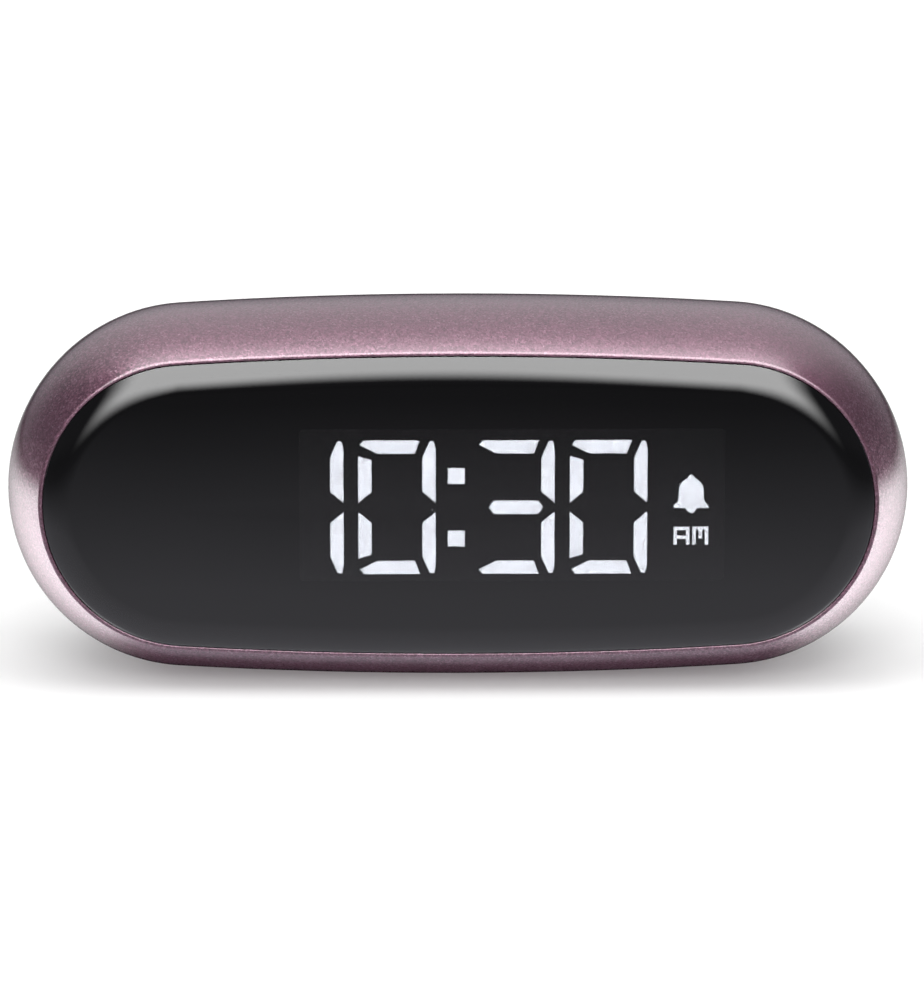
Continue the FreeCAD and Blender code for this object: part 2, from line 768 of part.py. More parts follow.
def negative_contact():
    h = CELL_H
    plate = contact_plate(h, BAY_X0 + FIT, BAY_X0 + 0.35, True)
    return join(plate, bent_leaf(h, BAY_X0 + 0.35, -9.15))


def bridge_contact():
    x1 = BAY_X1 - FIT
    plate = block(x1 - 0.35, x1, -10.0, 10.0, 25.4, 34.0)
    bump = Part.makeCylinder(1.4, 0.5, at(x1 - 0.85, CELL_H, CELL_D), Vector(1, 0, 0))
    return join(plate, bump, bent_leaf(-CELL_H, x1 - 0.35, 30.45))


def battery_upper():
    return cell(35.1, 1)


def battery_lower():
    return cell(-13.8, -1)


def battery_door():
    d0 = BACK_D - DOOR_T
    plate = rounded(DOOR_X0, DOOR_X1, -DOOR_HALF_H, DOOR_HALF_H, DOOR_R, d0, BACK_D)
    adds = []
    for side in (-1, 1):
        h0 = side * TAB_H - TAB_HALF
        h1 = side * TAB_H + TAB_HALF
        adds.append(block(BAY_X0 + 0.3, BAY_X0 + 1.1, h0, h1, TAB_D, d0))
        adds.append(block(TAB_X0, BAY_X0 + 1.1, h0, h1, TAB_D, TAB_D + 0.55))
    hook = [(34.3, d0), (34.3, 34.6), (35.1, 34.6), (35.7, 35.2), (35.1, 35.5), (35.1, d0)]
    corners = [at(x, -3.0, d) for x, d in hook]
    face = Part.Face(Part.makePolygon(corners + corners[:1]))
    adds.append(face.extrude(Vector(0, 0, 6.0)))
    body = join(plate, *adds)
    cuts = []
    for side in (-1, 1):
        # slits that free the latch tongue
        cuts.append(block(30.5, DOOR_X1 + 1, side * 4.0 - 0.3, side * 4.0 + 0.3, d0 - 1,
                          BACK_D + 1))
    for k in range(4):
        # finger grooves across the tongue
        x = 31.6 + 1.3 * k
        cuts.append(block(x, x + 0.6, -2.9, 2.9, BACK_D - 0.35, BACK_D + 1))
    return body.cut(cuts)


# ---------- keys ----------
def control_plate():
    plate = pocket(0.0, PLATE_POCKET_D, BACK_D)
    holes = [pin(x, h, KEY_R + 0.15, 36, 39) for x, h in key_spots().values()]
    holes.append(block(SWITCH_X - 1.3, SWITCH_X + 1.3, -3.5, 3.5, 36, 39))
    return plate.cut(holes)


def button_cap(x, h):
    cap = pin(x, h, KEY_R, 35.3, 38.6)
    rim = [e for e in cap.Edges if e.Curve.TypeId == "Part::GeomCircle"
           and e.CenterOfMass.y > RIM_Y + 38]
    cap = cap.makeFillet(0.4, rim)
    return join(cap, pin(x, h, 3.7, 34.8, 35.5))


def button_plunger(x, h):
    return pin(x, h, 1.75, 33.0, 34.8)


def alarm_switch_knob():
    h = SWITCH_UP_H
    skirt = block(SWITCH_X - 1.9, SWITCH_X + 1.9, h - 5.2, h + 5.2, 34.9, 35.5)
    grip = rounded(SWITCH_X - 1.1, SWITCH_X + 1.1, h - 1.7, h + 1.7, 0.5, 35.4, KNOB_TOP_D)
    stem = block(SWITCH_X - 0.7, SWITCH_X + 0.7, h - 0.7, h + 0.7, 33.2, 35.0)
    ribs = []
    for k in (-1, 0, 1):
        ribs.append(block(SWITCH_X - 2, SWITCH_X + 2, h + k - 0.2, h + k + 0.2,
                          KNOB_TOP_D - 0.3, KNOB_TOP_D + 1))
    return join(skirt, grip, stem).cut(ribs)


# ---------- writing ----------
def parts():
    nodes = {
        "front_housing": front_housing(),
        "rear_housing": rear_housing(),
        "front_lens": front_lens(),
        "lens_adhesive_ring": lens_adhesive_ring(),
        "mask_film": mask_film(),
        "front_polariser": front_polariser(),
        "lcd_front_glass": lcd_front_glass(),
        "lcd_segments": lcd_segments(),
        "lcd_rear_glass": lcd_rear_glass(),
        "rear_polariser": rear_polariser(),
        "diffuser_film": diffuser_film(),
        "light_guide": light_guide(),
        "backlight_leds": backlight_leds(),
        "reflector_film": reflector_film(),
        "zebra_strip_upper": zebra_strip(1),
        "zebra_strip_lower": zebra_strip(-1),
        "display_frame": display_frame(),
        "main_board": main_board(),
        "board_screws": board_screws(),
        "clock_chip": clock_chip(),
        "quartz_crystal": quartz_crystal(),
        "board_capacitors": board_capacitors(),
        "board_resistors": board_resistors(),
        "board_connector": board_connector(),
        "ribbon_cable": ribbon_cable(),
        "key_board": key_board(),
        "key_board_screws": key_board_screws(),
        "key_switch_bodies": key_switch_bodies(),
        "alarm_switch_body": alarm_switch_body(),
        "buzzer": buzzer(),
        "buzzer_leads": buzzer_leads(),
        "touch_foil": touch_foil(),
        "touch_spring": touch_spring(),
        "battery_lead_red": battery_lead(-1, -18.5),
        "battery_lead_black": battery_lead(1, -18.5),
        "battery_upper": battery_upper(),
        "battery_lower": battery_lower(),
        "positive_contact": positive_contact(),
        "negative_contact": negative_contact(),
        "bridge_contact": bridge_contact(),
        "battery_door": battery_door(),
        "control_plate": control_plate(),
        "alarm_switch_knob": alarm_switch_knob(),
        "case_screws": case_screws(),
    }
    for name, (x, h) in key_spots().items():
        nodes[name + "_button_cap"] = button_cap(x, h)
        nodes[name + "_button_plunger"] = button_plunger(x, h)
    for end, depth in (("front", FRONT_FOOT_D), ("rear", REAR_FOOT_D)):
        for side, x in (("left", -FOOT_X), ("right", FOOT_X)):
            nodes["foot_" + end + "_" + side] = foot(x, depth)
    return nodes


def save(nodes):
    os.makedirs("parts", exist_ok=True)
    for name, shape in nodes.items():
        if isinstance(shape, list):
            shape = Part.makeCompound(shape)
        shape.exportStep("parts/" + name + ".step")
        print(name, len(shape.Solids), shape.isValid(), round(shape.Volume, 2))


save(parts())
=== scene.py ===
import math

import bmesh
import bpy
from mathutils import Matrix, Vector


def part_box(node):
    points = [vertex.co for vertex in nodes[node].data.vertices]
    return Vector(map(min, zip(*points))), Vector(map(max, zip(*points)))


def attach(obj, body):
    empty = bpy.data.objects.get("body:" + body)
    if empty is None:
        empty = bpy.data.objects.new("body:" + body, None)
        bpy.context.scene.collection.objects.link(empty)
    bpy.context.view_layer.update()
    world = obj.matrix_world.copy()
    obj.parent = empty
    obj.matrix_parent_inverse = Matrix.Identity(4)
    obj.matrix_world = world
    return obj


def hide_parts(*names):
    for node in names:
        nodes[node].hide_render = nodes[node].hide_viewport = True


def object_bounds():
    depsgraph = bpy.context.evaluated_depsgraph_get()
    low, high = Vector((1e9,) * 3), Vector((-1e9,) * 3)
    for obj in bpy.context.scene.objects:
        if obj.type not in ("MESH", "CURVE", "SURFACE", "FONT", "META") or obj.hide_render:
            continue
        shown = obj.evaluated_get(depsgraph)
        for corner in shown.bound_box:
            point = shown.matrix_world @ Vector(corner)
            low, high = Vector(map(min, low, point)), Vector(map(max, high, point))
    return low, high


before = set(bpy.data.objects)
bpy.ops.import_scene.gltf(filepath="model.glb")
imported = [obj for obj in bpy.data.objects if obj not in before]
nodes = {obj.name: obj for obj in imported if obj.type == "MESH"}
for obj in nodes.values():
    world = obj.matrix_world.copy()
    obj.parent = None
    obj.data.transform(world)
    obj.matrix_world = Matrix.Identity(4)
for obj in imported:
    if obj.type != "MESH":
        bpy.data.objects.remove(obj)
cadLow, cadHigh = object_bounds()
print("frame loaded,", len(nodes), "nodes")

mm = 0.001  # pieces are modelled in millimetres and brought to metres at the end
casingLow, casingHigh = (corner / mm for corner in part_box("front_housing"))
rimY = casingLow.y  # the plane of the front rim
middleZ = (casingLow.z + casingHigh.z) / 2  # the height of the lens's middle

shell = {
    "endX": 35.8,  # centre of the round ends
    "endR": 19.0,
    "halfHeight": 20.1,
    "innerR": 0.15,  # the lip's corner next to the lens
    "noseR": 0.6,
    "crest": 5.2,  # how far the casing swells past the lens
    "crestDepth": 12.2,
    "rearR": 42.0,
    "taper": math.radians(24),
    "cornerR": 5.0,
    "back": 38.0,
    "wall": 2.0,
    "backWall": 2.4,
    "seam": 22.0,
    "seamGap": 0.2,
    "tongue": 2.0,
    "tongueOffset": 3.2,
    "tongueFit": 0.05,
    "endSteps": 60,
    "topSteps": 16,
}
topR = (shell["endX"]**2 + shell["halfHeight"]**2 - shell["endR"]**2) / (
    2 * (shell["halfHeight"] - shell["endR"]))
topTurn = math.atan2(shell["endX"], topR - shell["halfHeight"])


# ---- shader helper ----
class Wire:  # an output socket that can be used in sums
    def __init__(self, paint, socket):
        self.paint = paint
        self.socket = socket

    def sum(self, operation, first, second):
        return self.paint.node("ShaderNodeMath", {"operation": operation}, {0: first, 1: second})

    def __add__(self, other):
        return self.sum("ADD", self, other)

    __radd__ = __add__

    def __sub__(self, other):
        return self.sum("SUBTRACT", self, other)

    def __rsub__(self, other):
        return self.sum("SUBTRACT", other, self)

    def __mul__(self, other):
        return self.sum("MULTIPLY", self, other)

    __rmul__ = __mul__

    def __truediv__(self, other):
        return self.sum("DIVIDE", self, other)

    def __pow__(self, other):
        return self.sum("POWER", self, other)

    def __abs__(self):
        return self.sum("ABSOLUTE", self, 0)

    def __gt__(self, other):
        return self.sum("GREATER_THAN", self, other)

    def __lt__(self, other):
        return self.sum("LESS_THAN", self, other)


class Paint:  # a material, or the world, and the nodes in it
    def __init__(self, owner):
        self.owner = owner
        owner.use_nodes = True
        self.tree = owner.node_tree

    def node(self, kind, settings=None, inputs=None, output=0):
        made = self.tree.nodes.new(kind)
        for key, value in (settings or {}).items():
            if key == "stops":
                while len(made.color_ramp.elements) < len(value):
                    made.color_ramp.elements.new(0.5)
                for element, (place, colour) in zip(made.color_ramp.elements, value):
                    element.position = place
                    element.color = (*colour, 1)
            else:
                setattr(made, key, value)
        for key, value in (inputs or {}).items():
            self.feed(made.inputs[key], value)
        return Wire(self, made.outputs[output])

    def feed(self, socket, value):
        if isinstance(value, Wire):
            self.tree.links.new(value.socket, socket)
        else:
            socket.default_value = value

    def place(self):  # the point on the piece, in metres
        return self.node("ShaderNodeTexCoord", output="Object")

    def noise(self, size, detail=3.0, roughness=0.5):  # size in millimetres
        return self.node("ShaderNodeTexNoise", None, {
            "Vector": self.place(), "Scale": 1 / (size * mm), "Detail": detail,
            "Roughness": roughness}, "Fac")

    def blend(self, share, first, second):
        return self.node("ShaderNodeMix", {"data_type": "RGBA"}, {
            0: share, 6: (*first, 1) if isinstance(first, tuple) else first,
            7: (*second, 1) if isinstance(second, tuple) else second}, 2)

    def axis(self, vector, name):
        return self.node("ShaderNodeSeparateXYZ", None, {0: vector}, name)

    def rise(self, value, start, end):  # smooth step from nought to one
        return self.node("ShaderNodeMapRange", {"interpolation_type": "SMOOTHSTEP"}, {
            "Value": value, "From Min": start, "From Max": end})

    def bump(self, height, reach):  # reach is the bump's depth in millimetres
        return self.node("ShaderNodeBump", None, {
            "Height": height, "Strength": 1.0, "Distance": reach * mm}, "Normal")

    def surface(self, **values):
        shader = self.tree.nodes["Principled BSDF"]
        for key, value in values.items():
            name = key.replace("_", " ")
            if isinstance(value, tuple) and len(value) == 3:
                value = (*value, 1)
            self.feed(shader.inputs[name], value)
        return self.owner


def newPaint(name):
    return Paint(bpy.data.materials.new(name))


# ---- finishes ----
casingLook = {
    "base": (0.275, 0.115, 0.18),
    "light": (0.52, 0.30, 0.39),
    "flake": 0.21,  # millimetres across
    "spread": 0.75,  # how much flakes differ in brightness
    "scatter": 0.25,  # how far a flake leans
    "metallic": 0.20,
    "roughness": 0.40,
    "coatRoughness": 0.12,
}


def casingPaint():
    look = casingLook
    paint = newPaint("casingPaint")
    cell = paint.node("ShaderNodeTexVoronoi", None, {
        "Vector": paint.place(), "Scale": 1 / (look["flake"] * mm)}, "Color")
    share = paint.node("ShaderNodeSeparateColor", None, {"Color": cell})
    cloud = paint.noise(14, 2)
    dark = tuple((1 - look["spread"] / 2) * c for c in look["base"])
    bright = tuple((1 + look["spread"] / 2) * c for c in look["base"])
    base = paint.blend(share, dark, bright)
    base = paint.blend((share ** 12) * 0.6 + cloud * 0.08, base, look["light"])
    lean = paint.node("ShaderNodeVectorMath", {"operation": "SUBTRACT"}, {
        0: cell, 1: (0.5, 0.5, 0.5)})
    lean = paint.node("ShaderNodeVectorMath", {"operation": "SCALE"}, {
        0: lean, "Scale": look["scatter"]})
    normal = paint.node("ShaderNodeNewGeometry", output="Normal")
    normal = paint.node("ShaderNodeVectorMath", {"operation": "ADD"}, {0: normal, 1: lean})
    normal = paint.node("ShaderNodeVectorMath", {"operation": "NORMALIZE"}, {0: normal})
    return paint.surface(
        Base_Color=base, Metallic=look["metallic"], Normal=normal,
        Roughness=look["roughness"] + 0.06 * cloud, Specular_IOR_Level=0.2,
        Coat_Weight=0.95, Coat_Roughness=look["coatRoughness"], Coat_IOR=1.6)


lensLook = {
    "tint": (0.06, 0.06, 0.062),
    "ior": 1.49,
    "roughness": 0.0,
}


def smokedAcrylic():
    look = lensLook
    paint = newPaint("smokedAcrylic")
    haze = paint.noise(30, 2)
    tint = paint.blend(haze * 0.15, look["tint"], tuple(1.1 * c for c in look["tint"]))
    return paint.surface(
        Base_Color=tint, Roughness=look["roughness"], IOR=look["ior"],
        Transmission_Weight=1.0)


segmentLook = {
    "colour": (0.85, 0.88, 0.93),
    "strength": 18.5,
}


def litSegment():
    paint = newPaint("litSegment")
    grain = paint.noise(6, 1)
    dim = tuple(0.985 * c for c in segmentLook["colour"])
    glow = paint.blend(grain, segmentLook["colour"], dim)
    return paint.surface(
        Base_Color=(0.8, 0.8, 0.82), Roughness=0.6, Emission_Color=glow,
        Emission_Strength=segmentLook["strength"])


def clearSheet(name, tint, cover):  # a bonded sheet, so light passes straight on
    paint = newPaint(name)
    colour = paint.blend(paint.noise(8, 2) * 0.3, tint, tuple(0.9 * c for c in tint))
    return paint.surface(
        Base_Color=colour, Roughness=0.3, Alpha=cover, Specular_IOR_Level=0.0)


def moulded(name, colour, roughness=0.45, grain=0.35, depth=0.012, level=0.5):
    paint = newPaint(name)
    fine = paint.noise(grain, 4, 0.6)
    cloud = paint.noise(grain * 40, 2)
    darker = tuple(0.82 * c for c in colour)
    return paint.surface(
        Base_Color=paint.blend(cloud * 0.6 + fine * 0.25, colour, darker),
        Roughness=roughness - 0.06 + 0.12 * fine,
        Specular_IOR_Level=level,
        Normal=paint.bump(fine, depth))


def plated(name, colour, roughness=0.28, grain=0.25):
    paint = newPaint(name)
    fine = paint.noise(grain, 4, 0.6)
    cloud = paint.noise(grain * 20, 2)
    dull = tuple(0.75 * c for c in colour)
    return paint.surface(
        Base_Color=paint.blend(cloud * 0.7, colour, dull), Metallic=1.0,
        Roughness=roughness + 0.15 * cloud, Normal=paint.bump(fine, 0.004))


def circuitBoard():
    paint = newPaint("circuitBoard")
    track = paint.node("ShaderNodeTexBrick", None, {
        "Vector": paint.node("ShaderNodeMapping", None, {
            "Vector": paint.place(), "Rotation": (math.pi / 2, 0, 0)}),
        "Scale": 1 / (9 * mm), "Mortar Size": 0.035, "Mortar Smooth": 0.1}, "Fac")
    green = paint.blend(paint.noise(3, 2) * 0.5, (0.012, 0.085, 0.035), (0.008, 0.06, 0.026))
    colour = paint.blend(track, green, (0.03, 0.17, 0.07))
    return paint.surface(
        Base_Color=colour, Roughness=0.3 + 0.1 * paint.noise(1, 2),
        Normal=paint.bump(track, 0.03), Coat_Weight=0.3)


cellLook = {
    "wrap": (0.045, 0.10, 0.22),
    "band": (0.62, 0.63, 0.65),
    "bandWidth": 6.0,
    "capWidth": 1.1,
}


def cellWrap(name, node, nubSide):
    # plain blue wrap, a silver band at the positive end and bare steel at both ends
    look = cellLook
    paint = newPaint(name)
    low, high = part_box(node)
    along = paint.node("ShaderNodeSeparateXYZ", None, {0: paint.place()})
    reach = (high.x - along) if nubSide > 0 else (along - low.x)
    length = high.x - low.x
    steel = (reach < look["capWidth"] * mm) + (reach > length - 0.35 * mm)
    band = reach < look["bandWidth"] * mm
    scuff = paint.noise(1.5, 3)
    colour = paint.blend(scuff * 0.3, look["wrap"], tuple(0.8 * c for c in look["wrap"]))
    colour = paint.blend(band, colour, look["band"])
    colour = paint.blend(steel, colour, (0.6, 0.6, 0.61))
    return paint.surface(
        Base_Color=colour, Metallic=0.15 + 0.85 * steel, Roughness=0.3 + 0.15 * scuff,
        Normal=paint.bump(scuff, 0.01))


finishes = {
    "casing": casingPaint(),
    "lens": smokedAcrylic(),
    "lit": litSegment(),
    "film": clearSheet("clearFilm", (0.02, 0.02, 0.022), 0.015),
    "glass": clearSheet("displayGlass", (0.03, 0.035, 0.035), 0.015),
    "black": moulded("blackMask", (0.002, 0.002, 0.002), 0.7, 0.6, 0.001, 0.0),
    "darkFilm": moulded("darkFilm", (0.0015, 0.0015, 0.0015), 0.7, 0.6, 0.001, 0.0),
    "charcoal": moulded("charcoalPlastic", (0.03, 0.028, 0.031), 0.42, 0.3, 0.015),
    "button": moulded("buttonPlastic", (0.43, 0.29, 0.36), 0.38, 0.3, 0.008),
    "print": moulded("palePrint", (0.75, 0.73, 0.74), 0.55, 0.2, 0.002),
    "rubber": moulded("footRubber", (0.022, 0.022, 0.024), 0.75, 0.25, 0.03, 0.3),
    "whitePlastic": moulded("whitePlastic", (0.72, 0.72, 0.70), 0.4, 0.4, 0.01),
    "acrylic": clearSheet("clearAcrylic", (0.6, 0.66, 0.68), 0.3),
    "lamp": moulded("lampPhosphor", (0.85, 0.75, 0.25), 0.4, 0.2, 0.004),
    "strip": moulded("contactStrip", (0.08, 0.08, 0.085), 0.7, 0.12, 0.01),
    "board": circuitBoard(),
    "resin": moulded("pottingResin", (0.008, 0.008, 0.009), 0.2, 0.8, 0.02),
    "ceramic": moulded("ceramicBody", (0.28, 0.19, 0.12), 0.5, 0.2, 0.006),
    "redWire": moulded("redWire", (0.45, 0.02, 0.015), 0.4, 0.5, 0.006),
    "blackWire": moulded("blackWire", (0.012, 0.012, 0.013), 0.4, 0.5, 0.006),
    "ribbon": moulded("ribbonCable", (0.38, 0.39, 0.42), 0.5, 0.5, 0.01),
    "steel": plated("platedSteel", (0.58, 0.58, 0.60), 0.3),
    "spring": plated("springStrip", (0.66, 0.65, 0.62), 0.22),
    "copper": plated("copperFoil", (0.72, 0.38, 0.22), 0.3),
    "cellUpper": cellWrap("cellWrapUpper", "battery_upper", 1),
    "cellLower": cellWrap("cellWrapLower", "battery_lower", -1),
}

nodeFinish = {
    "lens_adhesive_ring": "black", "mask_film": "black", "front_polariser": "film",
    "lcd_front_glass": "glass", "lcd_segments": "lit", "lcd_rear_glass": "glass",
    "rear_polariser": "darkFilm", "diffuser_film": "whitePlastic", "light_guide": "acrylic",
    "backlight_leds": "lamp", "reflector_film": "whitePlastic", "zebra_strip_upper": "strip",
    "zebra_strip_lower": "strip", "display_frame": "charcoal", "main_board": "board",
    "board_screws": "steel", "clock_chip": "resin", "quartz_crystal": "steel",
    "board_capacitors": "ceramic", "board_resistors": "resin", "board_connector": "whitePlastic",
    "ribbon_cable": "ribbon", "key_board": "board", "key_board_screws": "steel",
    "key_switch_bodies": "charcoal", "alarm_switch_body": "steel", "buzzer": "charcoal",
    "buzzer_leads": "blackWire", "touch_foil": "copper", "touch_spring": "spring",
    "battery_lead_red": "redWire", "battery_lead_black": "blackWire",
    "battery_upper": "cellUpper", "battery_lower": "cellLower", "positive_contact": "spring",
    "negative_contact": "spring", "bridge_contact": "spring", "case_screws": "steel",
    "set_button_plunger": "charcoal", "mode_button_plunger": "charcoal",
    "up_button_plunger": "charcoal", "down_button_plunger": "charcoal",
    "foot_front_left": "rubber", "foot_front_right": "rubber",
    "foot_rear_left": "rubber", "foot_rear_right": "rubber",
}
for name, finish in nodeFinish.items():
    for slot in nodes[name].material_slots:
        slot.material = finishes[finish]
print("finishes made:", len(finishes))


# ---- modelling helpers ----
def spot(x, height, depth):
    return Vector((x, rimY + depth, middleZ + height))


def arcPoints(centre, radius, start, end, count):
    # section points along an arc, its first point left out
    steps = [start + (end - start) * k / count for k in range(1, count + 1)]
    return [(centre[0] + radius * math.cos(a), centre[1] + radius * math.sin(a)) for a in steps]


def sweepOutline(section, closed=False):
    # stands a section of (offset, depth) at the right end and turns it round the four arcs
    bm = bmesh.new()
    start = topTurn - math.pi / 2
    verts = []
    for offset, depth in section:
        reach = shell["endR"] + offset
        x = shell["endX"] + reach * math.cos(start)
        verts.append(bm.verts.new(spot(x, reach * math.sin(start), depth)))
    pairs = list(zip(verts, verts[1:]))
    if closed:
        pairs.append((verts[-1], verts[0]))
    geom = verts + [bm.edges.new(pair) for pair in pairs]
    endTurn = math.pi - 2 * topTurn
    drop = topR - shell["halfHeight"]
    for x, height, turn, steps in (
            (shell["endX"], 0, endTurn, shell["endSteps"]),
            (0, -drop, 2 * topTurn, shell["topSteps"]),
            (-shell["endX"], 0, endTurn, shell["endSteps"]),
            (0, drop, 2 * topTurn, shell["topSteps"])):
        turned = bmesh.ops.spin(
            bm, geom=geom, cent=spot(x, height, 0), axis=(0, -1, 0), angle=turn,
            steps=steps, use_merge=False)
        geom = turned["geom_last"]
    bmesh.ops.remove_doubles(bm, verts=bm.verts, dist=0.004)
    if not closed:
        bmesh.ops.holes_fill(bm, edges=[e for e in bm.edges if e.is_boundary], sides=0)
    bmesh.ops.recalc_face_normals(bm, faces=bm.faces)
    return bm


def block(x0, x1, h0, h1, d0, d1, corner=0.0, steps=6):
    # box whose four corners, seen from the front, are rounded
    bm = bmesh.new()
    bmesh.ops.create_cube(bm, size=1.0)
    bmesh.ops.scale(bm, vec=(x1 - x0, d1 - d0, h1 - h0), verts=bm.verts)
    bmesh.ops.translate(bm, vec=spot((x0 + x1) / 2, (h0 + h1) / 2, (d0 + d1) / 2),
                        verts=bm.verts)
    if corner > 0:
        upright = [e for e in bm.edges if abs((e.verts[0].co - e.verts[1].co).y) > 1e-4]
        bmesh.ops.bevel(bm, geom=upright, offset=corner, affect="EDGES", segments=steps,
                        profile=0.5, material=-1, clamp_overlap=True)
    return bm


def turned(x, height, profile, steps=48):
    # closed profile of (radius, depth), turned about a line from front to back
    bm = bmesh.new()
    verts = [bm.verts.new(spot(x + r, height, d)) for r, d in profile]
    edges = [bm.edges.new(pair) for pair in zip(verts, verts[1:])]
    if min(profile[0][0], profile[-1][0]) > 0:
        edges.append(bm.edges.new((verts[-1], verts[0])))
    bmesh.ops.spin(bm, geom=verts + edges, cent=spot(x, height, 0), axis=(0, 1, 0),
                   angle=2 * math.pi, steps=steps, use_merge=True)
    bmesh.ops.remove_doubles(bm, verts=bm.verts, dist=0.0005)
    bmesh.ops.recalc_face_normals(bm, faces=bm.faces)
    return bm


def rod(x, height, r, d0, d1, steps=32):
    return turned(x, height, [(0, d0), (r, d0), (r, d1), (0, d1)], steps)


def prism(points, d0, d1):
    # flat outline of (x, height), pulled from one depth to another
    bm = bmesh.new()
    face = bm.faces.new([bm.verts.new(spot(x, h, d0)) for x, h in points])
    pulled = bmesh.ops.extrude_face_region(bm, geom=[face])
    ends = [g for g in pulled["geom"] if isinstance(g, bmesh.types.BMVert)]
    bmesh.ops.translate(bm, vec=(0, d1 - d0, 0), verts=ends)
    bmesh.ops.recalc_face_normals(bm, faces=bm.faces)
    return bm


def merged(parts):
    # one bmesh that holds all the parts
    whole = bmesh.new()
    for part in parts:
        mesh = bpy.data.meshes.new("part")
        part.to_mesh(mesh)
        part.free()
        whole.from_mesh(mesh)
        bpy.data.meshes.remove(mesh)
    return whole


def soften(bm, edges, width, steps=2):
    bmesh.ops.bevel(bm, geom=edges, offset=width, affect="EDGES", segments=steps,
                    profile=0.5, material=-1, clamp_overlap=True)
    return bm


def edgesAt(bm, depth, angle=0.6):
    # edges that lie at a depth and stand out as corners
    found = []
    for e in bm.edges:
        level = all(abs(v.co.y - rimY - depth) < 1e-3 for v in e.verts)
        if level and len(e.link_faces) == 2 and e.calc_face_angle() > angle:
            found.append(e)
    return found


def solidOf(bm, name):
    mesh = bpy.data.meshes.new(name)
    bm.to_mesh(mesh)
    bm.free()
    thing = bpy.data.objects.new(name, mesh)
    bpy.context.scene.collection.objects.link(thing)
    return thing


def carve(base, adds=(), cuts=()):
    # adds solids to a base and takes others away
    thing = solidOf(base, "carved")
    helpers = []
    for operation, parts in (("UNION", adds), ("DIFFERENCE", cuts)):
        for part in parts:
            helper = solidOf(part, "tool")
            step = thing.modifiers.new("carve", "BOOLEAN")
            step.operation = operation
            step.solver = "EXACT"
            step.object = helper
            helpers.append(helper)
    bpy.context.view_layer.update()
    graph = bpy.context.evaluated_depsgraph_get()
    result = bpy.data.meshes.new_from_object(thing.evaluated_get(graph))
    bm = bmesh.new()
    bm.from_mesh(result)
    bpy.data.meshes.remove(result)
    for used in [thing, *helpers]:
        mesh = used.data
        bpy.data.objects.remove(used)
        bpy.data.meshes.remove(mesh)
    bmesh.ops.remove_doubles(bm, verts=bm.verts, dist=0.0005)
    return bm


def makePiece(name, bm, finish, body="clock_body", stands=(), sharp=32):
    bm.transform(Matrix.Scale(mm, 4))
    mesh = bpy.data.meshes.new(name)
    bm.to_mesh(mesh)
    bm.free()
    mesh.materials.append(finishes[finish])
    mesh.shade_smooth()
    mesh.set_sharp_from_angle(angle=math.radians(sharp))
    piece = bpy.data.objects.new(name, mesh)
    bpy.context.scene.collection.objects.link(piece)
    # large flat faces keep their own normals beside small rounded edges
    flatten = piece.modifiers.new("weighted", "WEIGHTED_NORMAL")
    flatten.keep_sharp = True
    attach(piece, body)
    if stands:
        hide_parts(*stands)
    return piece


# ---- casing section ----
noseC = (shell["innerR"], shell["noseR"])
noseReach = shell["crest"] - noseC[0]
bandR = ((noseReach**2 + (shell["crestDepth"] - noseC[1])**2 - shell["noseR"]**2)
         / (2 * (noseReach - shell["noseR"])))
bandC = (shell["crest"] - bandR, shell["crestDepth"])
rearC = (shell["crest"] - shell["rearR"], shell["crestDepth"])
noseAngle = math.atan2(noseC[1] - bandC[1], noseC[0] - bandC[0])
cornerDepth = shell["back"] - shell["cornerR"]
taperStart = arcPoints(rearC, shell["rearR"], 0, shell["taper"], 1)[0]
cornerC = (taperStart[0] - (shell["cornerR"] + (cornerDepth - taperStart[1])
                            * math.sin(shell["taper"])) / math.cos(shell["taper"]), cornerDepth)


def skinAngle(centre, radius, depth):
    return math.asin((depth - centre[1]) / radius)


front = {
    "plate": (1.62, 3.0),  # the wall behind the lens, front and back
    "window": (29, 11, 1.0),  # half width, half height, corner
    # x and height from the middle, radius, end, bore radius, where the bore starts
    "caseBoss": (43.2, 8.2, 2.7, 27, 1.3, 14),
    "displayBoss": (28, 16.4, 2.3, 7, 1.0, 3.6),
    "bossStart": 2.8,
}


def boss(x, height, r, end, bore, boreStart):
    start = front["bossStart"]
    return turned(x, height, [(0, start), (r, start), (r, end - 0.3), (r - 0.3, end),
                              (bore, end), (bore, boreStart), (0, boreStart)], 40)


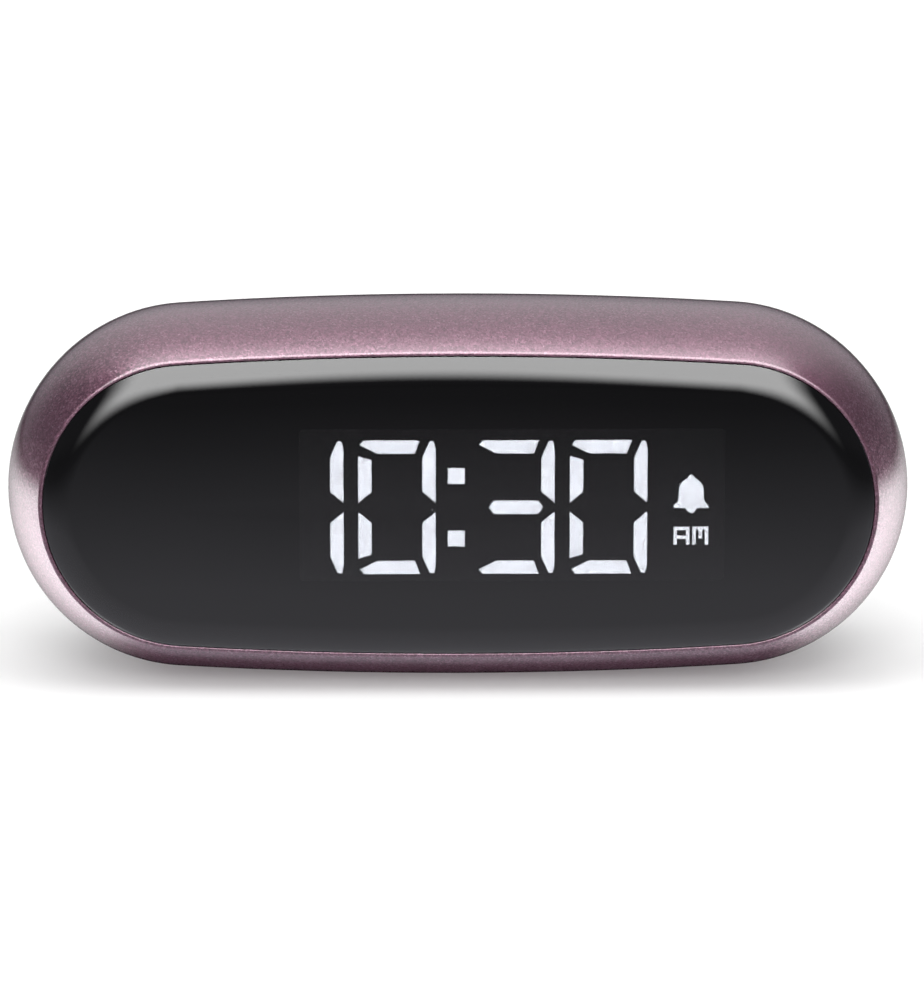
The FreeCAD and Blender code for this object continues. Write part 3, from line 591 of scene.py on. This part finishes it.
def makeFrontShell():
    inner = shell["rearR"] - shell["wall"]
    bandInner = bandR - shell["wall"]
    plateFront, plateBack = front["plate"]
    seamEnd = skinAngle(rearC, shell["rearR"], shell["seam"])
    tongueEnd = skinAngle(rearC, inner, shell["seam"] - shell["tongue"])
    innerR = shell["innerR"]
    section = [(0.0, innerR)]
    section += arcPoints((innerR, innerR), innerR, -math.pi, -math.pi / 2, 4)
    section += arcPoints(noseC, shell["noseR"], -math.pi / 2, noseAngle, 8)
    section += arcPoints(bandC, bandR, noseAngle, 0, 18)
    section += arcPoints(rearC, shell["rearR"], 0, seamEnd, 8)
    section += [(shell["tongueOffset"], shell["seam"]),
                (shell["tongueOffset"], shell["seam"] - shell["tongue"])]
    section += arcPoints(rearC, inner, tongueEnd, tongueEnd, 1)
    section += arcPoints(rearC, inner, tongueEnd, 0, 6)
    section += arcPoints(bandC, bandInner, 0, skinAngle(bandC, bandInner, plateBack), 8)
    section += [(0.0, plateBack)]
    ring = sweepOutline(section, closed=True)
    plate = sweepOutline([(-0.02, plateFront), (-0.02, plateBack)])
    displayX = (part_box("lcd_front_glass")[0].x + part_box("lcd_front_glass")[1].x) / 2 / mm
    halfX, halfH, corner = front["window"]
    window = block(displayX - halfX, displayX + halfX, -halfH, halfH, 0, 5, corner)
    plate = carve(plate, cuts=[window])
    bosses = []
    for sx in (-1, 1):
        for sh in (-1, 1):
            for middle, key in ((0, "caseBoss"), (displayX, "displayBoss")):
                x, height, *size = front[key]
                bosses.append(boss(middle + sx * x, sh * height, *size))
    return makePiece("frontShell", merged([ring, plate] + bosses), "casing",
                     stands=["front_housing"])


lens = {
    "crown": 2.25,  # how far the dome stands before the rim
    "domeR": 170.0,
    "domeEdge": -3.9,  # offset where the dome gives way to the tighter edge
    "slope": math.radians(40),  # how steep the edge ends
    "flat": -19.0, "middle": -18.5, "edge": -0.1,
    "back": 1.42,  # a hair into the glue ring, so that two faces never coincide
}
mask = {"edge": -2.38, "depths": (1.38, 1.6), "window": (-21, 35, 10.2, 0.6)}


def makeLens():
    crown, domeR, domeEdge, slope = (lens[key] for key in ("crown", "domeR", "domeEdge", "slope"))
    flat, middle, edge, back = (lens[key] for key in ("flat", "middle", "edge", "back"))
    domeC = (flat, domeR - crown)
    domeSlope = math.asin((domeEdge - flat) / domeR)
    middleSlope = math.asin((middle - flat) / domeR)
    edgeR = (edge - domeEdge) / (math.sin(slope) - math.sin(domeSlope))
    quarter = math.pi / 2
    section = arcPoints(domeC, domeR, middleSlope - quarter, middleSlope - quarter, 1)
    section += arcPoints(domeC, domeR, middleSlope - quarter, domeSlope - quarter, 24)
    edgeC = (section[-1][0] - edgeR * math.sin(domeSlope),
             section[-1][1] + edgeR * math.cos(domeSlope))
    section += arcPoints(edgeC, edgeR, domeSlope - quarter, slope - quarter, 20)
    section += [(edge, back - 0.1), (edge - 0.1, back), (middle, back)]
    return makePiece("lensDome", sweepOutline(section), "lens",
                     stands=["front_lens"], sharp=38)


def makeMask():
    # printed on the lens's back, so it starts just inside it
    film = sweepOutline([(mask["edge"], depth) for depth in mask["depths"]])
    x0, x1, half, corner = mask["window"]
    window = block(x0, x1, -half, half, 1, 2, corner)
    return makePiece("maskPrint", carve(film, cuts=[window]), "black",
                     stands=["mask_film"])


rear = {
    "screwX": 43.2, "screwH": 8.2, "wellR": 3.3, "boreR": 2.4,
    "bay": (-14.5, 36.0, 11.4, 24.6), "bayWall": 1.2,
    "door": (-15.5, 37.3, 12.3), "doorGap": 0.2, "doorR": 3.0, "doorSeat": 36.5,
    "plate": (-40.2, -18.4, 10.2), "plateR": 5.0, "plateDepth": 37.0,
    "postX": -32.15, "postH": 10.2,
    "soundX": 44.4, "holeR": 0.55, "cupR": 5.4, "cupBore": 4.45,
    "rim": 0.22,  # rounding round every opening
}
keySpots = {"set": (-36.4, 4.8), "mode": (-36.4, -4.8), "up": (-27.9, 4.8), "down": (-27.9, -4.8)}
switchX = -21.9


def makeRearShell():
    inner = shell["rearR"] - shell["wall"]
    innerBack = shell["back"] - shell["backWall"]
    tongueStart = shell["seam"] - shell["tongue"] + shell["tongueFit"]
    skinStart = shell["seam"] + shell["seamGap"]
    outerStart = skinAngle(rearC, shell["rearR"], skinStart)
    innerStart = skinAngle(rearC, inner, tongueStart)
    cornerInner = shell["cornerR"] - shell["wall"]
    cornerEnd = skinAngle(cornerC, cornerInner, innerBack)
    lip = shell["tongueOffset"] - shell["tongueFit"]
    taper = shell["taper"]
    flat = cornerC[0] - 1.2
    section = [(flat, innerBack)]
    section += arcPoints(cornerC, cornerInner, cornerEnd, cornerEnd, 1)
    section += arcPoints(cornerC, cornerInner, cornerEnd, taper, 4)
    section += arcPoints(rearC, inner, taper, taper, 1)
    section += arcPoints(rearC, inner, taper, innerStart, 6)
    section += [(lip, tongueStart), (lip, skinStart)]
    section += arcPoints(rearC, shell["rearR"], outerStart, outerStart, 1)
    section += arcPoints(rearC, shell["rearR"], outerStart, taper, 8)
    section += arcPoints(cornerC, shell["cornerR"], taper, taper, 1)
    section += arcPoints(cornerC, shell["cornerR"], taper, math.pi / 2, 12)
    section += [(flat, shell["back"])]
    cup = sweepOutline(section)

    x0, x1, bayH, bayDepth = rear["bay"]
    wall = rear["bayWall"]
    merge = innerBack + 0.4
    adds = [block(x0 - wall, x1 + wall, -bayH - wall, bayH + wall, bayDepth - wall, merge)]
    adds.append(rod(rear["soundX"], 0, rear["cupR"], 31, merge))
    for side in (-1, 1):
        adds.append(rod(rear["postX"], side * rear["postH"], 1.8, 30.7, merge))
        for sx in (-1, 1):
            adds.append(rod(sx * rear["screwX"], side * rear["screwH"], rear["wellR"], 27, merge))

    d0, d1, doorH = rear["door"]
    gap = rear["doorGap"]
    p0, p1, plateH = rear["plate"]
    past = shell["back"] + 1
    cuts = [
        block(x0, x1, -bayH, bayH, bayDepth, past),
        block(d0 - gap, d1 + gap, -doorH - gap, doorH + gap, rear["doorSeat"], past,
              rear["doorR"] + gap, 8),
        block(p0 - 0.1, p1 + 0.1, -plateH - 0.1, plateH + 0.1, rear["plateDepth"], past,
              rear["plateR"] + 0.1, 10),
        rod(rear["soundX"], 0, rear["cupBore"], 30.5, innerBack),
        block(switchX - 1.4, switchX + 1.4, -3.6, 3.6, 35, past),
        block(x1 - 1, x1 + wall + 1, -3.4, 3.4, 34.2, innerBack),
    ]
    for side in (-1, 1):
        low, high = sorted((side * 8.0, side * 11.4))
        cuts.append(block(x0 - wall - 1, x0 + 1, low, high, 34.0, innerBack))
        for sx in (-1, 1):
            x, h = sx * rear["screwX"], side * rear["screwH"]
            cuts.append(rod(x, h, rear["boreR"], 29, past))
            cuts.append(rod(x, h, 1.5, 26, 30))
    for x, h in keySpots.values():
        cuts.append(rod(x, h, 3.2, 35, past))
    holes = [rod(rear["soundX"], 0, rear["holeR"], 35, past, 16)]
    for count, reach in ((6, 1.8), (12, 3.5)):
        for k in range(count):
            turn = 2 * math.pi * k / count
            x = rear["soundX"] + reach * math.cos(turn)
            holes.append(rod(x, reach * math.sin(turn), rear["holeR"], 35, past, 16))
    cuts.append(merged(holes))
    whole = carve(cup, adds, cuts)
    soften(whole, edgesAt(whole, shell["back"]), rear["rim"])
    return makePiece("rearShell", whole, "casing", stands=["rear_housing"])


makeFrontShell()
makeLens()
makeMask()
makeRearShell()
print("casing and lens made")


# ---- back of the clock ----
door = {
    "thick": 1.4, "rim": 0.3, "tongueX": 30.5, "tongueH": 4.0, "slit": 0.3,
    "grooves": 5, "grooveStep": 1.05, "grooveW": 0.5, "grooveDepth": 0.35,
    "tabH": 9.7, "tabHalf": 1.4, "tabDepth": 34.7,
    "arrow": [(24.4, 0), (27.4, 1.9), (27.4, -1.9)], "arrowDepth": 0.25,
    "hook": (34.3, 35.1, -3, 3, 34.6), "barb": (35.1, 35.7, -3, 3, 34.8, 35.4),
}


def makeDoor():
    x0, x1, half = rear["door"]
    back = shell["back"]
    inside = back - door["thick"]
    plate = block(x0, x1, -half, half, inside, back, rear["doorR"], 8)
    cuts = []
    for side in (-1, 1):
        h = side * door["tongueH"]
        cuts.append(block(door["tongueX"], x1 + 1, h - door["slit"], h + door["slit"],
                          inside - 1, back + 1, 0.25, 3))
    for k in range(door["grooves"]):
        x = door["tongueX"] + 1.0 + door["grooveStep"] * k
        cuts.append(block(x, x + door["grooveW"], -2.8, 2.8, back - door["grooveDepth"],
                          back + 1, 0.2, 3))
    # an arrow that shows which way the latch is pushed
    cuts.append(prism(door["arrow"], back - door["arrowDepth"], back + 1))
    body = carve(plate, cuts=cuts)
    soften(body, edgesAt(body, back), door["rim"], 3)
    bay = rear["bay"][0]
    parts = [body]
    for side in (-1, 1):
        h0, h1 = side * door["tabH"] - door["tabHalf"], side * door["tabH"] + door["tabHalf"]
        deep = door["tabDepth"]
        parts.append(block(bay + 0.3, bay + 1.1, h0, h1, deep, inside))
        parts.append(block(bay - 1.8, bay + 0.3, h0, h1, deep, deep + 0.55))
    parts += [block(*door["hook"], inside), block(*door["barb"])]
    return makePiece("batteryDoor", merged(parts), "casing",
                     body="battery_cover", stands=["battery_door"])


def makeControlPlate():
    p0, p1, plateH = rear["plate"]
    back = shell["back"]
    plate = block(p0, p1, -plateH, plateH, rear["plateDepth"], back, rear["plateR"], 10)
    cuts = [block(switchX - 1.3, switchX + 1.3, -3.5, 3.5, 36, 39, 0.5, 4)]
    for x, h in keySpots.values():
        cuts.append(rod(x, h, 2.95, 36, 39, 48))
    plate = carve(plate, cuts=cuts)
    soften(plate, edgesAt(plate, back), 0.2, 3)
    return makePiece("controlPlate", plate, "charcoal",
                     stands=["control_plate"])


cap = {"r": 2.8, "flangeR": 3.7, "top": 38.6, "dish": 0.25, "rim": 0.4}


def makeButton(name, x, h):
    top, r = cap["top"], cap["r"]
    profile = [(0, 34.8), (cap["flangeR"], 34.8), (cap["flangeR"], 35.5), (r, 35.5)]
    profile += [(r, top - cap["rim"])]
    rimC = (r - cap["rim"], top - cap["rim"])
    profile += arcPoints(rimC, cap["rim"], 0, math.pi / 2, 6)
    inner = rimC[0] - 0.25
    for k in range(1, 7):
        share = 1 - k / 6
        profile.append((inner * share, top - cap["dish"] * (1 - share**2)))
    return makePiece(name + "Button", turned(x, h, profile, 56), "button",
                     body=name + "_button", stands=[name + "_button_cap"])


knob = {"height": 1.5, "halfW": 1.1, "halfH": 1.7, "bottom": 35.4, "skirt": (1.9, 5.2, 34.9),
        "stem": (0.7, 33.2), "groove": 0.2, "grooveDepth": 0.3}


def makeSwitchKnob():
    h = knob["height"]
    halfW, halfH, bottom = knob["halfW"], knob["halfH"], knob["bottom"]
    cut = knob["groove"]
    top = cadHigh.y / mm - rimY
    grip = block(switchX - halfW, switchX + halfW, h - halfH, h + halfH, bottom, top, 0.5, 4)
    cuts = []
    for k in (-1, 0, 1):
        cuts.append(block(switchX - 2, switchX + 2, h + k - cut, h + k + cut,
                          top - knob["grooveDepth"], top + 1))
    grip = carve(grip, cuts=cuts)
    soften(grip, edgesAt(grip, top), 0.12, 2)
    wide, tall, under = knob["skirt"]
    skirt = block(switchX - wide, switchX + wide, h - tall, h + tall, under, bottom)
    thin, tip = knob["stem"]
    stem = block(switchX - thin, switchX + thin, h - thin, h + thin, tip, under)
    return makePiece("switchKnob", merged([grip, skirt, stem]), "button",
                     body="alarm_switch", stands=["alarm_switch_knob"])


marks = {"thick": 0.05, "line": 0.32}


def ringMark(x, h, r, line, depth):
    return turned(x, h, [(r - line, depth), (r, depth), (r, depth + marks["thick"]),
                         (r - line, depth + marks["thick"])], 40)


def bar(x, h, width, height, depth):
    return block(x - width / 2, x + width / 2, h - height / 2, h + height / 2, depth,
                 depth + marks["thick"])


def makeMarks():
    # plain signs beside the buttons: clock, lines, up, down; bell on, bell off
    depth = shell["back"] + 0.002
    line = marks["line"]
    parts = []
    # clock
    sx, sh = keySpots["set"][0], 0.95
    parts.append(ringMark(sx, sh, 0.85, 0.2, depth))
    parts.append(bar(sx, sh + 0.25, 0.16, 0.6, depth))
    parts.append(bar(sx + 0.2, sh, 0.5, 0.16, depth))
    # three lines
    for k in (-1, 0, 1):
        parts.append(bar(sx, -1.1 + 0.45 * k, 1.3, 0.18, depth))
    # up and down
    ux = keySpots["up"][0]
    parts.append(prism([(ux - 0.8, 0.45), (ux + 0.8, 0.45), (ux, 1.5)], depth,
                       depth + marks["thick"]))
    parts.append(prism([(ux - 0.8, -0.45), (ux, -1.5), (ux + 0.8, -0.45)], depth,
                       depth + marks["thick"]))
    # bells above and below the switch
    for side in (-1, 1):
        bh = side * 5.6
        bell = [(switchX - 1.0, bh - 0.75), (switchX + 1.0, bh - 0.75),
                (switchX + 0.65, bh - 0.35), (switchX + 0.6, bh + 0.35),
                (switchX + 0.3, bh + 0.8), (switchX - 0.3, bh + 0.8),
                (switchX - 0.6, bh + 0.35), (switchX - 0.65, bh - 0.35)]
        parts.append(prism(bell, depth, depth + marks["thick"]))
        parts.append(rod(switchX, bh - 1.05, 0.24, depth, depth + marks["thick"], 20))
        if side < 0:
            stroke = block(-1.5, 1.5, -0.11, 0.11, depth + marks["thick"] + 0.002,
                           depth + 2 * marks["thick"])
            centre = spot(0, 0, 0)
            bmesh.ops.rotate(stroke, cent=centre, matrix=Matrix.Rotation(0.8, 3, "Y"),
                             verts=stroke.verts)
            bmesh.ops.translate(stroke, vec=(switchX, 0, bh), verts=stroke.verts)
            parts.append(stroke)
    return makePiece("printedMarks", merged(parts), "print")


makeDoor()
makeControlPlate()
for name, (x, h) in keySpots.items():
    makeButton(name, x, h)
makeSwitchKnob()
makeMarks()
print("back pieces made")

# ---- floor, light and camera ----
studio = {
    "floor": 6.0,
    "white": (0.86, 0.86, 0.86),
    "glow": 0.17,
    # soft light that only the floor receives: direction, strength, angle across
    "suns": [((0, -0.25, 1), 1.9, 70), ((0, -1, 0.36), 2.0, 42),
             ((-1, -0.35, 0.55), 0.9, 50), ((1, -0.35, 0.55), 0.9, 50)],
}


def makeFloor():
    bm = bmesh.new()
    bmesh.ops.create_grid(bm, x_segments=2, y_segments=2, size=studio["floor"])
    mesh = bpy.data.meshes.new("floor")
    bm.to_mesh(mesh)
    bm.free()
    floor = bpy.data.objects.new("floor", mesh)
    bpy.context.scene.collection.objects.link(floor)
    paint = newPaint("paleFloor")
    shade = paint.blend(paint.noise(400, 2) * 0.1, studio["white"], (0.84, 0.84, 0.84))
    mesh.materials.append(paint.surface(
        Base_Color=shade, Roughness=0.9, Specular_IOR_Level=0.0,
        Emission_Color=studio["white"], Emission_Strength=studio["glow"]))
    floor.visible_glossy = False
    floor.visible_diffuse = False
    return floor


room = {
    "ambient": (0.1, 0.2),  # what dull surfaces get from below and from above
    "table": 0.6,  # and from the pale table in front
    # the dim room and pale table that glossy surfaces mirror: elevation, radiance
    "shades": [(-60, 1.15), (-40, 1.1), (-26, 0.98), (-21, 0.9), (-16, 0.68), (-12, 0.51),
               (-7, 0.31), (-3, 0.19), (3, 0.16), (12, 0.2), (90, 0.16)],
    "tint": (1.0, 0.985, 1.08),
    "under": (0.22, 0.62),  # where the shade under the casing starts and ends
    "box": 9.8,  # softbox above and in front: radiance
    "boxSides": (0.37, 0.66), "boxBack": (-0.46, 0.3),
    "boxLow": 0.25, "boxHump": 0.19, "boxHumpWidth": 0.07, "boxSoft": 0.24,
    "glow": 1.45, "glowSides": (0.5, 0.88),  # its spill on the ceiling behind
    "card": 5.9, "cardBase": 0.45,  # pale cards low down behind both ends
    "cardFront": (-0.1, 0.2), "cardTop": (-0.02, -0.2), "cardReach": (0.22, 0.58),
}


def makeWorld():
    # the view behind is plain white; the rest is a studio seen in reflections
    world = bpy.data.worlds.new("studioWorld")
    bpy.context.scene.world = world
    paint = Paint(world)
    way = paint.node("ShaderNodeTexCoord", output="Generated")
    across = abs(paint.axis(way, "X"))
    behind = paint.axis(way, "Y")
    height = paint.axis(way, "Z")
    stops = [(0.5 + 0.5 * math.sin(math.radians(a)), (v, v, v)) for a, v in room["shades"]]
    dim = paint.node("ShaderNodeValToRGB", {"stops": stops}, {0: height * 0.5 + 0.5})
    rear = paint.rise(behind, 0.0, 0.25)
    dim = dim * (1 - paint.rise(behind, *room["under"]) * (height < 0))

    sink = across / room["boxHumpWidth"]
    hump = paint.node("ShaderNodeMath", {"operation": "EXPONENT"}, {0: sink * sink * -1.0})
    low = hump * room["boxHump"] + room["boxLow"]
    box = paint.rise(height, low - room["boxSoft"], low + room["boxSoft"]) * room["box"]
    box = box * (1 - paint.rise(behind, *room["boxBack"]))
    box = box * (1 - paint.rise(across, *room["boxSides"]))
    spill = height * rear * (height > 0) * (1 - paint.rise(across, *room["glowSides"]))

    level = (1.0001 - height * height) ** 0.5
    card = (across / level) ** 3 * room["card"] + room["cardBase"]
    card = card * paint.rise(behind, *room["cardFront"])
    card = card * (1 - paint.rise(height, room["cardTop"][1], room["cardTop"][0]))
    card = card * paint.rise(across / abs(height), *room["cardReach"])

    mirrored = paint.node("ShaderNodeLightPath", output="Is Glossy Ray")
    mirrored = mirrored * (paint.node("ShaderNodeLightPath", output="Diffuse Depth") < 0.5)
    seen = paint.node("ShaderNodeLightPath", output="Is Camera Ray")
    below, above = room["ambient"]
    fill = paint.rise(height, -0.7, 0.7) * (above - below) + below
    fill = fill + (1 - paint.rise(behind, -0.7, 0.1)) * (height < 0) * room["table"]
    bright = box + spill * room["glow"] + card
    tinted = {k: dim * share + bright for k, share in enumerate(room["tint"])}
    studioView = paint.node("ShaderNodeCombineXYZ", None, tinted)
    colour = paint.blend(mirrored, fill, studioView)
    colour = paint.blend(seen, colour, (1.0, 1.0, 1.0))
    paint.feed(paint.tree.nodes["Background"].inputs["Color"], colour)


def aimLight(name, kind, spotAt, target, **values):
    light = bpy.data.lights.new(name, kind)
    for key, value in values.items():
        setattr(light, key, value)
    lamp = bpy.data.objects.new(name, light)
    lamp.location = spotAt
    lamp.rotation_euler = (Vector(target) - Vector(spotAt)).to_track_quat("-Z", "Y").to_euler()
    bpy.context.scene.collection.objects.link(lamp)
    return lamp


centre = Vector((0, rimY, middleZ)) * mm


def makeLights(floor):
    receivers = bpy.data.collections.new("floorLight")
    receivers.objects.link(floor)
    for way, energy, angle in studio["suns"]:
        sun = aimLight("floorSun", "SUN", way, (0, 0, 0), energy=energy,
                       angle=math.radians(angle))
        sun.visible_glossy = False
        sun.light_linking.receiver_collection = receivers


lookout = {
    "azimuth": -0.55, "elevation": 13.0, "distance": 0.80,
    "pixelsPerMm": 7.6, "imageHeight": 1000, "sensor": 36.0,
    "right": 0.41, "up": 0.76,  # how far the aim stands off the lens's middle
}


def makeCamera():
    look = lookout
    camera = bpy.data.cameras.new("camera")
    camera.sensor_width = look["sensor"]
    camera.lens = (look["pixelsPerMm"] * look["distance"] / mm / look["imageHeight"]
                   * look["sensor"])
    eye = bpy.data.objects.new("camera", camera)
    a, e = math.radians(look["azimuth"]), math.radians(look["elevation"])
    back = Vector((math.sin(a) * math.cos(e), -math.cos(a) * math.cos(e), math.sin(e)))
    eye.rotation_euler = (-back).to_track_quat("-Z", "Y").to_euler()
    turn = eye.rotation_euler.to_matrix()
    aim = centre + (turn @ Vector((look["right"], look["up"], 0))) * mm
    eye.location = aim + back * look["distance"]
    camera.clip_start = 0.01
    camera.clip_end = 50
    bpy.context.scene.collection.objects.link(eye)
    bpy.context.scene.camera = eye


makeWorld()
makeLights(makeFloor())
makeCamera()
view = bpy.context.scene.view_settings
view.view_transform = "Standard"
view.look = "None"
print("studio made")
